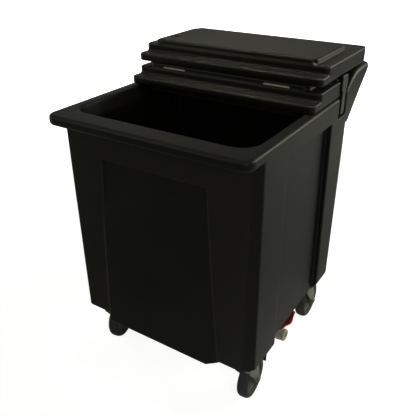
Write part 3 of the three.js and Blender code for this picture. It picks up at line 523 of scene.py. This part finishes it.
def new_piece(name: str, work: bmesh.types.BMesh, smooth: bool = True) -> bpy.types.Object:
    """Turns a bmesh into an object at the origin.

    Args:
        name: the piece's name.
        work: its mesh, freed here.
        smooth: whether its faces shade smoothly.

    Returns:
        The object.
    """
    mesh = bpy.data.meshes.new(name)
    work.to_mesh(mesh)
    work.free()
    mesh.polygons.foreach_set("use_smooth", [smooth] * len(mesh.polygons))
    piece = bpy.data.objects.new(name, mesh)
    bpy.context.scene.collection.objects.link(piece)
    return piece


def apply_modifiers(piece: bpy.types.Object) -> None:
    """Bakes a piece's modifiers into its mesh."""
    graph = bpy.context.evaluated_depsgraph_get()
    baked = bpy.data.meshes.new_from_object(piece.evaluated_get(graph))
    old = piece.data
    piece.modifiers.clear()
    baked.name = old.name
    piece.data = baked
    bpy.data.meshes.remove(old)


def keep_largest(piece: bpy.types.Object) -> None:
    """Deletes every loose shell of a piece but the one with the most vertices."""
    work = bmesh.new()
    work.from_mesh(piece.data)
    seen: set[int] = set()
    shells: list[list[bmesh.types.BMVert]] = []
    for start in work.verts:
        if start.index in seen:
            continue
        seen.add(start.index)
        shell, front = [start], [start]
        while front:
            nearby = [e.other_vert(v) for v in front for e in v.link_edges]
            front = []
            for v in nearby:
                if v.index not in seen:
                    seen.add(v.index)
                    front.append(v)
            shell += front
        shells.append(shell)
    shells.sort(key=len)
    loose = [v for shell in shells[:-1] for v in shell]
    if loose:
        bmesh.ops.delete(work, geom=loose, context="VERTS")
    work.to_mesh(piece.data)
    work.free()


def points_of(piece: bpy.types.Object) -> np.ndarray:
    """Places of a piece's vertices, one row each."""
    place = np.empty(len(piece.data.vertices) * 3)
    piece.data.vertices.foreach_get("co", place)
    return place.reshape(-1, 3)


def move_points(piece: bpy.types.Object, place: np.ndarray) -> None:
    """Puts a piece's vertices at new places."""
    piece.data.vertices.foreach_set("co", place.ravel())


def normals_of(piece: bpy.types.Object) -> np.ndarray:
    """Normals at a piece's vertices, one row each."""
    normal = np.empty(len(piece.data.vertices) * 3)
    piece.data.vertex_normals.foreach_get("vector", normal)
    return normal.reshape(-1, 3)


def write_mask(piece: bpy.types.Object, name: str, value: np.ndarray) -> None:
    """Writes a value for each vertex as an attribute that the finishes read."""
    layer = piece.data.attributes.new(name, "FLOAT", "POINT")
    layer.data.foreach_set("value", value.astype(np.float32))


def ends_of(piece: bpy.types.Object) -> np.ndarray:
    """Vertex numbers at the two ends of each of a piece's edges, as two rows."""
    pairs = np.empty(len(piece.data.edges) * 2, dtype=np.int64)
    piece.data.edges.foreach_get("vertices", pairs)
    return pairs.reshape(-1, 2).T


def evened(value: np.ndarray, ends: np.ndarray, passes: int) -> np.ndarray:
    """Evens out a value at each vertex with its neighbours.

    Args:
        value: one number for each vertex.
        ends: what ends_of gives for the piece.
        passes: how often to do it.

    Returns:
        The new numbers.
    """
    a, b = ends
    count = len(value)
    links = np.maximum(np.bincount(a, minlength=count) + np.bincount(b, minlength=count), 1)
    for _ in range(passes):
        nearby = np.bincount(a, value[b], count) + np.bincount(b, value[a], count)
        value = value * 0.5 + nearby / links * 0.5
    return value


def mark_upward(piece: bpy.types.Object, span: Pair = (0.7, 0.97), passes: int = 4) -> None:
    """Writes how far the surface looks up at each vertex to the attribute "upward", which lightens top faces:
    partly dust, partly painted light from above.

    Args:
        piece: the piece.
        span: upward parts of the normal where the lightening starts and is full.
        passes: how often the value is evened out with its neighbours.
    """
    share = np.clip((normals_of(piece)[:, 2] - span[0]) / (span[1] - span[0]), 0, 1)
    write_mask(piece, "upward", evened(share * share * (3 - 2 * share), ends_of(piece), passes))


def mark_edges(piece: bpy.types.Object, reach: float, passes: int = 0) -> None:
    """Writes how sharply the surface turns outwards at each vertex to the attribute "edge".

    Args:
        piece: the piece.
        reach: turn over length, in radians for each metre, that counts as a full edge.
        passes: how often the value is evened out with its neighbours.
    """
    place, normal = points_of(piece), normals_of(piece)
    ends = ends_of(piece)
    a, b = ends
    gap = place[b] - place[a]
    length = np.maximum((gap ** 2).sum(1), TINY)
    turn = ((normal[b] - normal[a]) * gap).sum(1) / length
    total, links = np.zeros(len(place)), np.zeros(len(place))
    for end in (a, b):
        np.add.at(total, end, turn)
        np.add.at(links, end, 1)
    mean = total / np.maximum(links, 1)
    write_mask(piece, "edge", evened(np.clip(mean / reach, 0, 1), ends, passes))


def even_normals(piece: bpy.types.Object) -> None:
    """Weights the normals by face size, so that flat faces stay flat beside narrow bevels."""
    even = piece.modifiers.new("normals", "WEIGHTED_NORMAL")
    even.keep_sharp = False


@dataclass
class Assembly:
    """Base of the sub-assemblies: the finishes and the way a finished piece joins the bin."""

    finishes: Finishes
    soft_turn: float = 0.35
    soft_passes: int = 2
    smoothing: float = 0.5
    hard_turn: float = 900.0
    round_turn: float = 1500.0
    flat_angle: float = 1.0
    sharp_angle: float = 32.0
    bevel_steps: int = 2

    def settle(self, piece: bpy.types.Object, slot: Slot, *nodes: str) -> bpy.types.Object:
        """Dresses a new piece and lets it stand for its CAD nodes.

        Args:
            piece: the new piece.
            slot: its material slot.
            nodes: the CAD nodes it replaces, all on one body.

        Returns:
            The piece.
        """
        self.finishes.dress(piece, slot)
        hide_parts(*nodes)
        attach(piece, body_of_node(nodes[0]))
        LOG.info("%s: %d faces", piece.name, len(piece.data.polygons))
        return piece

    def keep(self, node: str, slot: Slot) -> None:
        """Leaves a CAD node as it is, with the slot's finish."""
        self.finishes.dress(frame["nodes"][node], slot)
        LOG.info("%s: kept", node)

    def soften(
        self, node: str, slot: Slot, voxel: float, passes: int, filling: Sequence[str] = (),
        cut: Callable[[bpy.types.Object], None] | None = None,
    ) -> bpy.types.Object:
        """Makes a moulded piece with soft edges from a node's form.

        Args:
            node: the CAD node.
            slot: material slot.
            voxel: mesh size in metres.
            passes: smoothing passes, which round the edges.
            filling: nodes that fill its sealed hollow, joined so that only the outer skin stays.
            cut: shapes further details before the edges are rounded.

        Returns:
            The piece.
        """
        piece = new_piece(f"{node}_soft", node_mesh(node, *filling))
        remesh = piece.modifiers.new("voxels", "REMESH")
        remesh.mode = "VOXEL"
        remesh.voxel_size = voxel
        apply_modifiers(piece)
        keep_largest(piece)
        if cut is not None:
            cut(piece)
        even = piece.modifiers.new("even", "SMOOTH")
        even.factor = self.smoothing
        even.iterations = passes
        apply_modifiers(piece)
        piece.data.polygons.foreach_set("use_smooth", [True] * len(piece.data.polygons))
        mark_edges(piece, self.soft_turn / voxel, self.soft_passes)
        mark_upward(piece)
        return self.settle(piece, slot, node)

    def refine(self, node: str, slot: Slot, bevel: float, merge: bool = True) -> bpy.types.Object:
        """Makes a hard piece with small rounded edges from a node's form.

        Args:
            node: the CAD node.
            slot: material slot.
            bevel: width of the rounded edge in metres.
            merge: whether flat neighbours become one face; a face with slots would break.

        Returns:
            The piece.
        """
        work = node_mesh(node)
        if merge:
            bmesh.ops.dissolve_limit(
                work, angle_limit=math.radians(self.flat_angle), verts=work.verts, edges=work.edges,
                use_dissolve_boundaries=False,
            )
        piece = new_piece(f"{node}_fine", work)
        edge = piece.modifiers.new("edge", "BEVEL")
        edge.width = bevel
        edge.segments = self.bevel_steps
        edge.limit_method = "ANGLE"
        edge.angle_limit = math.radians(self.sharp_angle)
        edge.use_clamp_overlap = True
        edge.miter_outer = "MITER_ARC"
        even_normals(piece)
        apply_modifiers(piece)
        mark_edges(piece, self.hard_turn)
        return self.settle(piece, slot, node)

    def lathe(
        self, node: str, slot: Slot, profile: Profile, centre: Vector, axis: Vector, segments: int,
    ) -> bpy.types.Object:
        """Turns a closed profile about an axis to replace a round node.

        Args:
            node: the CAD node.
            slot: material slot.
            profile: (radius, distance along the axis) points in metres.
            centre: point on the axis.
            axis: direction of the axis.
            segments: steps round the axis.

        Returns:
            The piece.
        """
        work = bmesh.new()
        turn = axis.normalized().to_track_quat("Z", "X").to_matrix().to_4x4()
        place = Matrix.Translation(centre) @ turn
        rings = []
        for step in range(segments):
            angle = 2 * math.pi * step / segments
            across, up = math.cos(angle), math.sin(angle)
            rings.append([work.verts.new(place @ Vector((r * across, r * up, z))) for r, z in profile])
        count = len(profile)
        for step in range(segments):
            here, there = rings[step], rings[(step + 1) % segments]
            for k in range(count):
                m = (k + 1) % count
                work.faces.new((here[k], there[k], there[m], here[m]))
        bmesh.ops.recalc_face_normals(work, faces=work.faces)
        piece = new_piece(f"{node}_round", work)
        even_normals(piece)
        apply_modifiers(piece)
        mark_edges(piece, self.round_turn)
        return self.settle(piece, slot, node)


@dataclass
class Tub(Assembly):
    """Double-wall tub with its foam, and the shelf that lies in the well."""

    voxel: float = 2.8 * MM
    passes: int = 3
    side: float = 292.5 * MM
    pillar_plane: float = -326.5 * MM
    chamfer: float = 25.0 * MM
    under_rim: float = 762.0 * MM
    underside: float = 164.0 * MM
    panel_top: float = 680.0 * MM
    panel_top_half: float = 159.0 * MM
    panel_foot_half: float = 193.0 * MM
    panel_sink: float = 10.0 * MM
    panel_proud: float = 22.0 * MM
    wall: float = 3.0 * MM
    reach: float = 14.0 * MM
    # Share of the painted frame light at the left end; it grows to full at the right.
    least_frame_light: float = 0.35
    # Reach of the light lines along the panel's sides: partly wear, partly painted highlight.
    side_line_reach: float = 1.3
    plug_bevel: float = 0.5 * MM
    shelf_bevel: float = 1.2 * MM
    strainer_bevel: float = 0.3 * MM

    def drop_share(self, place: np.ndarray) -> np.ndarray:
        """Share of the front panel's height that each point lies below its top."""
        return (self.panel_top - place[:, 2]) / (self.panel_top - self.underside)

    def inside_sides(self, place: np.ndarray) -> np.ndarray:
        """How far each point lies between the panel's slanting sides, in metres."""
        widening = (self.panel_foot_half - self.panel_top_half) * self.drop_share(place)
        return self.panel_top_half + widening - np.abs(place[:, 0])

    def inside_panel(self, place: np.ndarray) -> np.ndarray:
        """How far each point lies inside the front panel's outline, in metres."""
        return np.minimum(self.inside_sides(place), self.panel_top - place[:, 2])

    def carve(self, piece: bpy.types.Object) -> None:
        """Steepens the walls round the sunk part of the front panel."""
        place = points_of(piece)
        depth = place[:, 1] - self.pillar_plane
        lean = (self.panel_sink + self.panel_proud) * self.drop_share(place)
        floor = np.minimum(self.panel_sink - lean, self.panel_sink)
        target = floor * np.clip(self.inside_panel(place) / self.wall, 0, 1)
        sunk = (np.abs(depth) < self.reach) & (target > 0) & (depth < target)
        place[sunk, 1] = self.pillar_plane + target[sunk]
        move_points(piece, place)

    def paint_frame_light(self, piece: bpy.types.Object) -> None:
        """Marks the front frame round the panel with painted light, stronger towards the right."""
        place = points_of(piece)
        depth = place[:, 1] - self.pillar_plane
        frame_front = (np.abs(depth) < self.wall) & (place[:, 2] < self.under_rim)
        frame_front &= np.abs(place[:, 0]) < self.side - self.chamfer + self.wall
        outside = np.clip(-self.inside_panel(place) / self.wall, 0, 1)
        # Painted light, brighter towards the right side.
        toward_right = (place[:, 0] + self.side) / (2 * self.side)
        amount = self.least_frame_light + (1 - self.least_frame_light) * toward_right
        write_mask(piece, "painted_frame_light", frame_front * outside * amount)

    def paint_side_lines(self, piece: bpy.types.Object) -> None:
        """Adds light lines along the panel's slanting sides to the edge mask: partly wear, partly painted
        highlight.
        """
        place = points_of(piece)
        near = (np.abs(place[:, 1] - self.pillar_plane) < 2 * self.wall) & (place[:, 2] < self.panel_top)
        line = near * np.clip(self.side_line_reach - np.abs(self.inside_sides(place)) / self.wall, 0, 1)
        layer = piece.data.attributes["edge"]
        value = np.empty(len(place))
        layer.data.foreach_get("value", value)
        layer.data.foreach_set("value", np.maximum(value, line))

    def build(self) -> None:
        """Builds and dresses the tub's pieces."""
        filling = ["tub_foam_core"]
        shell = self.soften("tub_moulding", Slot.SHELL, self.voxel, self.passes, filling, self.carve)
        self.paint_frame_light(shell)
        self.paint_side_lines(shell)
        self.keep("tub_foam_core", Slot.FOAM)
        self.refine("tub_foam_plug", Slot.SHELL, self.plug_bevel)
        self.refine("drain_shelf", Slot.SHELF, self.shelf_bevel, merge=False)
        self.refine("drain_strainer", Slot.VALVE, self.strainer_bevel)


@dataclass
class Lids(Assembly):
    """The two lids, their foam, and the glide pads between them."""

    voxel: float = 2.4 * MM
    passes: int = 3
    notch_half: float = 241.0 * MM
    notch_depth: float = 6.5 * MM
    raised: float = 12.0 * MM
    dent_half: float = 10.5 * MM
    dent_place: Pair = (-223.5 * MM, 104.5 * MM)
    dent_depth: float = 3.0 * MM
    plug_bevel: float = 0.4 * MM
    pad_bevel: float = 0.8 * MM

    def notch(self, piece: bpy.types.Object) -> None:
        """Sets back the front corners of the raised panel."""
        place = points_of(piece)
        high = place[:, 2] > place[:, 2].max() - self.raised
        set_back = place[high, 1].min() + self.notch_depth
        corner = high & (np.abs(place[:, 0]) > self.notch_half) & (place[:, 1] < set_back)
        place[corner, 1] = set_back
        move_points(piece, place)

    def dent(self, piece: bpy.types.Object) -> None:
        """Adds the small square recess on the front lid's top to the notched corners."""
        self.notch(piece)
        place = points_of(piece)
        bottom = place[:, 2].max() - self.dent_depth
        away = np.abs(place[:, :2] - self.dent_place).max(1)
        pressed = (away < self.dent_half) & (place[:, 2] > bottom)
        place[pressed, 2] = bottom
        move_points(piece, place)

    def build(self) -> None:
        """Builds and dresses both lids."""
        for lid, cut in (("rear_lid", self.notch), ("front_lid", self.dent)):
            self.soften(lid, Slot.SHELL, self.voxel, self.passes, [f"{lid}_foam"], cut)
            self.keep(f"{lid}_foam", Slot.FOAM)
            self.refine(f"{lid}_plug", Slot.SHELL, self.plug_bevel)
        for hand in ("left", "right"):
            self.refine(f"glide_pad_{hand}", Slot.GLIDE, self.pad_bevel)


@dataclass
class Latches(Assembly):
    """The two T-shaped straps and their pins."""

    voxel: float = 1.2 * MM
    passes: int = 5
    pin_bevel: float = 0.3 * MM

    def build(self) -> None:
        """Builds and dresses both latches."""
        for hand in ("left", "right"):
            self.soften(f"latch_strap_{hand}", Slot.STRAP, self.voxel, self.passes)
            self.refine(f"latch_pin_{hand}", Slot.STEEL, self.pin_bevel)


@dataclass
class Drain(Assembly):
    """Drain fitting, elbow and ball valve with its red lever."""

    bevel: float = 0.6 * MM
    lever_voxel: float = 0.9 * MM
    lever_passes: int = 5
    pieces: tuple[str, ...] = (
        "drain_fitting", "drain_lock_nut", "drain_elbow", "valve_body", "valve_inlet_nut",
        "valve_outlet_nut", "valve_ball", "valve_stem",
    )

    def build(self) -> None:
        """Builds and dresses the drain."""
        for node in self.pieces:
            self.refine(node, Slot.VALVE, self.bevel)
        self.soften("valve_lever", Slot.LEVER, self.lever_voxel, self.lever_passes)


@dataclass
class Casters(Assembly):
    """Four swivel casters; the front ones carry brake pedals."""

    wheel_radius: float = 62.5 * MM
    tyre_half: float = 16.0 * MM
    tyre_inner: float = 50.0 * MM
    core_outer: float = 49.7 * MM
    core_rim: float = 44.7 * MM
    core_half: float = 15.0 * MM
    web_half: float = 3.5 * MM
    hub_radius: float = 15.0 * MM
    hub_half: float = 19.0 * MM
    bore: float = 5.4 * MM
    tyre_steps: int = 96
    core_steps: int = 72
    pedal_voxel: float = 0.9 * MM
    pedal_passes: int = 4
    pin_bevel: float = 0.3 * MM
    bevels: tuple[tuple[str, float], ...] = (
        ("fork", 0.6 * MM), ("axle", 0.5 * MM), ("caster_plate", 0.6 * MM), ("kingpin", 0.4 * MM),
    )
    tags: tuple[str, ...] = ("front_left", "front_right", "rear_left", "rear_right")

    def tyre_profile(self) -> Profile:
        """Rounded tread with a moulded rib on each side wall."""
        r, h, inner = self.wheel_radius, self.tyre_half, self.tyre_inner
        half = [
            (r, 0.0), (r - 0.1 * MM, 4.0 * MM), (r - 0.6 * MM, 8.0 * MM), (r - 1.8 * MM, 11.5 * MM),
            (r - 3.6 * MM, 14.2 * MM), (r - 5.6 * MM, h - 0.3 * MM), (r - 7.0 * MM, h),
            (r - 7.9 * MM, h), (r - 8.3 * MM, h - 0.5 * MM), (r - 9.2 * MM, h - 0.6 * MM),
            (inner + 1.2 * MM, h - 0.9 * MM), (inner, h - 1.6 * MM),
        ]
        return half + [(a, -b) for a, b in reversed(half[1:])]

    def core_profile(self) -> Profile:
        """Rim, dished web and hub."""
        hub, tip, face = self.hub_radius, self.hub_half, self.core_half
        w, rim, out = self.web_half, self.core_rim, self.core_outer
        half = [
            (self.bore, tip), (hub - 1.2 * MM, tip), (hub - 0.3 * MM, tip - 0.5 * MM),
            (hub, tip - 1.5 * MM), (hub + 1.0 * MM, w + 3.0 * MM), (hub + 3.0 * MM, w + 0.6 * MM),
            (hub + 6.0 * MM, w), (rim - 6.0 * MM, w), (rim - 2.5 * MM, w + 0.8 * MM),
            (rim - 0.6 * MM, w + 3.2 * MM), (rim, w + 5.0 * MM), (rim + 0.6 * MM, face - 0.8 * MM),
            (rim + 1.4 * MM, face), (out - 0.8 * MM, face), (out, face - 0.6 * MM),
        ]
        return half + [(a, -b) for a, b in reversed(half)]

    def build(self) -> None:
        """Builds and dresses the four casters."""
        rolls = {j["child"]: j for j in frame["joints"]}
        for tag in self.tags:
            roll = rolls[f"wheel_{tag}"]
            centre, axis = Vector(roll["pos_m"]), Vector(roll["axis"])
            self.lathe(f"tyre_{tag}", Slot.TYRE, self.tyre_profile(), centre, axis, self.tyre_steps)
            self.lathe(f"wheel_core_{tag}", Slot.CORE, self.core_profile(), centre, axis, self.core_steps)
            for part, bevel in self.bevels:
                self.refine(f"{part}_{tag}", Slot.STEEL, bevel)
            if tag.startswith("front"):
                self.soften(f"brake_pedal_{tag}", Slot.PEDAL, self.pedal_voxel, self.pedal_passes)
                self.refine(f"brake_pin_{tag}", Slot.STEEL, self.pin_bevel)


@dataclass(frozen=True)
class Softbox:
    """One lamp of the studio, turned to the bin's middle."""

    name: str
    place: Triple
    size: Pair
    power: float
    spread: float = 180.0


@dataclass
class Studio:
    """Pale floor, white surround, softboxes and the camera."""

    camera_place: Triple = (0.7373, -1.2217, 1.2151)
    camera_pitch: float = 28.70
    camera_yaw: float = 32.60
    camera_roll: float = -0.31
    lens: float = 45.69
    film_width: float = 36.0
    aim: Triple = (0.0, 0.0, 0.5)
    floor_half: float = 14.0
    floor_grain: Grain = Grain(30.0, 4.0, 0.6)
    floor_dark: Colour = (0.82, 0.82, 0.82)
    floor_pale: Colour = (0.86, 0.86, 0.86)
    floor_roughness: float = 0.5
    white: Colour = (1.0, 1.0, 1.0)
    surround: float = 0.02
    sheen: float = 0.21
    warmth: Colour = (1.0, 0.995, 0.87)
    glow_share: float = 0.4
    floor_light: float = 0.18
    floor_span: Pair = (1.5, 2.6)
    lamps: tuple[Softbox, ...] = (
        Softbox("softbox_back", (2.2, 2.2, 1.6), (1.4, 1.4), 48.0),
        Softbox("softbox_right", (2.4, -2.0, 2.0), (1.2, 1.6), 18.0),
        Softbox("softbox_left", (-1.8, -2.4, 1.9), (1.2, 1.6), 9.0),
        Softbox("softbox_low", (1.6, 2.8, 0.9), (1.8, 0.8), 3.7),
        Softbox("softbox_behind", (-1.3, 2.9, 0.4), (1.8, 0.6), 20.0),
        Softbox("softbox_beside", (-2.6, 0.2, 0.5), (1.6, 0.7), 16.0),
        Softbox("softbox_top", (0.0, 0.0, 3.2), (0.5, 0.5), 1.2, 16.0),
    )

    def floor(self) -> None:
        """Pale floor that shows as white and keeps the bin's shadow."""
        work = bmesh.new()
        bmesh.ops.create_grid(work, x_segments=1, y_segments=1, size=self.floor_half)
        piece = new_piece("studio_floor", work, False)
        material, bench = new_material("studio_floor")
        place = bench.place()
        colour = bench.blend(bench.noise(place, self.floor_grain), self.floor_dark, self.floor_pale)
        diffuse = bench.node(
            "ShaderNodeBsdfDiffuse", inputs={"Color": colour, "Roughness": self.floor_roughness},
        )
        strength = (1.0 - (1.0 - self.glow_share) * self.floor_light) / self.glow_share
        glow = bench.node("ShaderNodeEmission", inputs={"Color": (*self.white, 1.0), "Strength": strength})
        away = bench.wire(bench.node("ShaderNodeVectorMath", {"operation": "LENGTH"}, {0: place}), "Value")
        share = self.glow_share + bench.step(away, self.floor_span) * (1.0 - self.glow_share)
        seen = bench.wire(bench.node("ShaderNodeLightPath"), "Is Camera Ray") * share
        ends = {1: diffuse.outputs[0], 2: glow.outputs[0]}
        mixed = bench.node("ShaderNodeMixShader", inputs={0: seen, **ends})
        bench.node("ShaderNodeOutputMaterial", inputs={"Surface": mixed.outputs[0]})
        piece.data.materials.append(material)

    def world(self) -> None:
        """White for the camera and for rays through glass, a dim sheen in reflections, softer as a light."""
        world = bpy.data.worlds.new("studio")
        world.use_nodes = True
        bpy.context.scene.world = world
        bench = Bench(world.node_tree)
        path = bench.node("ShaderNodeLightPath")
        seen = bench.wire(path, "Is Camera Ray")
        through = bench.wire(path, "Is Transmission Ray")
        shone = bench.wire(path, "Is Glossy Ray")
        share = bench.wire(bench.node("ShaderNodeClamp", inputs={"Value": seen + through}))
        level = self.surround + shone * self.sheen + share * (1.0 - self.surround)
        colour = bench.blend(share, self.warmth, self.white)
        back = bench.node("ShaderNodeBackground", inputs={"Color": colour, "Strength": level})
        bench.node("ShaderNodeOutputWorld", inputs={"Surface": back.outputs[0]})

    def lights(self) -> None:
        """Softboxes, each turned to the bin's middle."""
        for softbox in self.lamps:
            data = bpy.data.lights.new(softbox.name, "AREA")
            data.shape = "RECTANGLE"
            data.size, data.size_y = softbox.size
            data.energy = softbox.power
            data.spread = math.radians(softbox.spread)
            data.color = self.warmth
            lamp = bpy.data.objects.new(softbox.name, data)
            lamp.location = softbox.place
            lamp.visible_camera = False
            line = Vector(self.aim) - Vector(softbox.place)
            lamp.rotation_euler = line.to_track_quat("-Z", "Y").to_euler()
            bpy.context.scene.collection.objects.link(lamp)

    def camera(self) -> None:
        """Camera at the photograph's place."""
        data = bpy.data.cameras.new("camera")
        data.sensor_width = self.film_width
        data.lens = self.lens
        piece = bpy.data.objects.new("camera", data)
        tilt, yaw = math.radians(90.0 - self.camera_pitch), math.radians(self.camera_yaw)
        roll = Matrix.Rotation(math.radians(self.camera_roll), 3, "Z")
        turn = Euler((tilt, 0.0, yaw)).to_matrix() @ roll
        piece.matrix_world = Matrix.Translation(self.camera_place) @ turn.to_4x4()
        bpy.context.scene.collection.objects.link(piece)
        bpy.context.scene.camera = piece

    def build(self) -> None:
        """Builds the studio."""
        self.camera()
        self.floor()
        self.world()
        self.lights()
        bpy.context.scene.view_settings.view_transform = "Standard"
        LOG.info("studio: %d lamps", len(self.lamps))


def main() -> None:
    """Builds every sub-assembly and the studio, in order."""
    finishes = Finishes()
    for assembly in (Tub(finishes), Lids(finishes), Latches(finishes), Drain(finishes), Casters(finishes)):
        assembly.build()
        LOG.info("%s done", type(assembly).__name__)
    Studio().build()


if __name__ == "__main__":
    main()
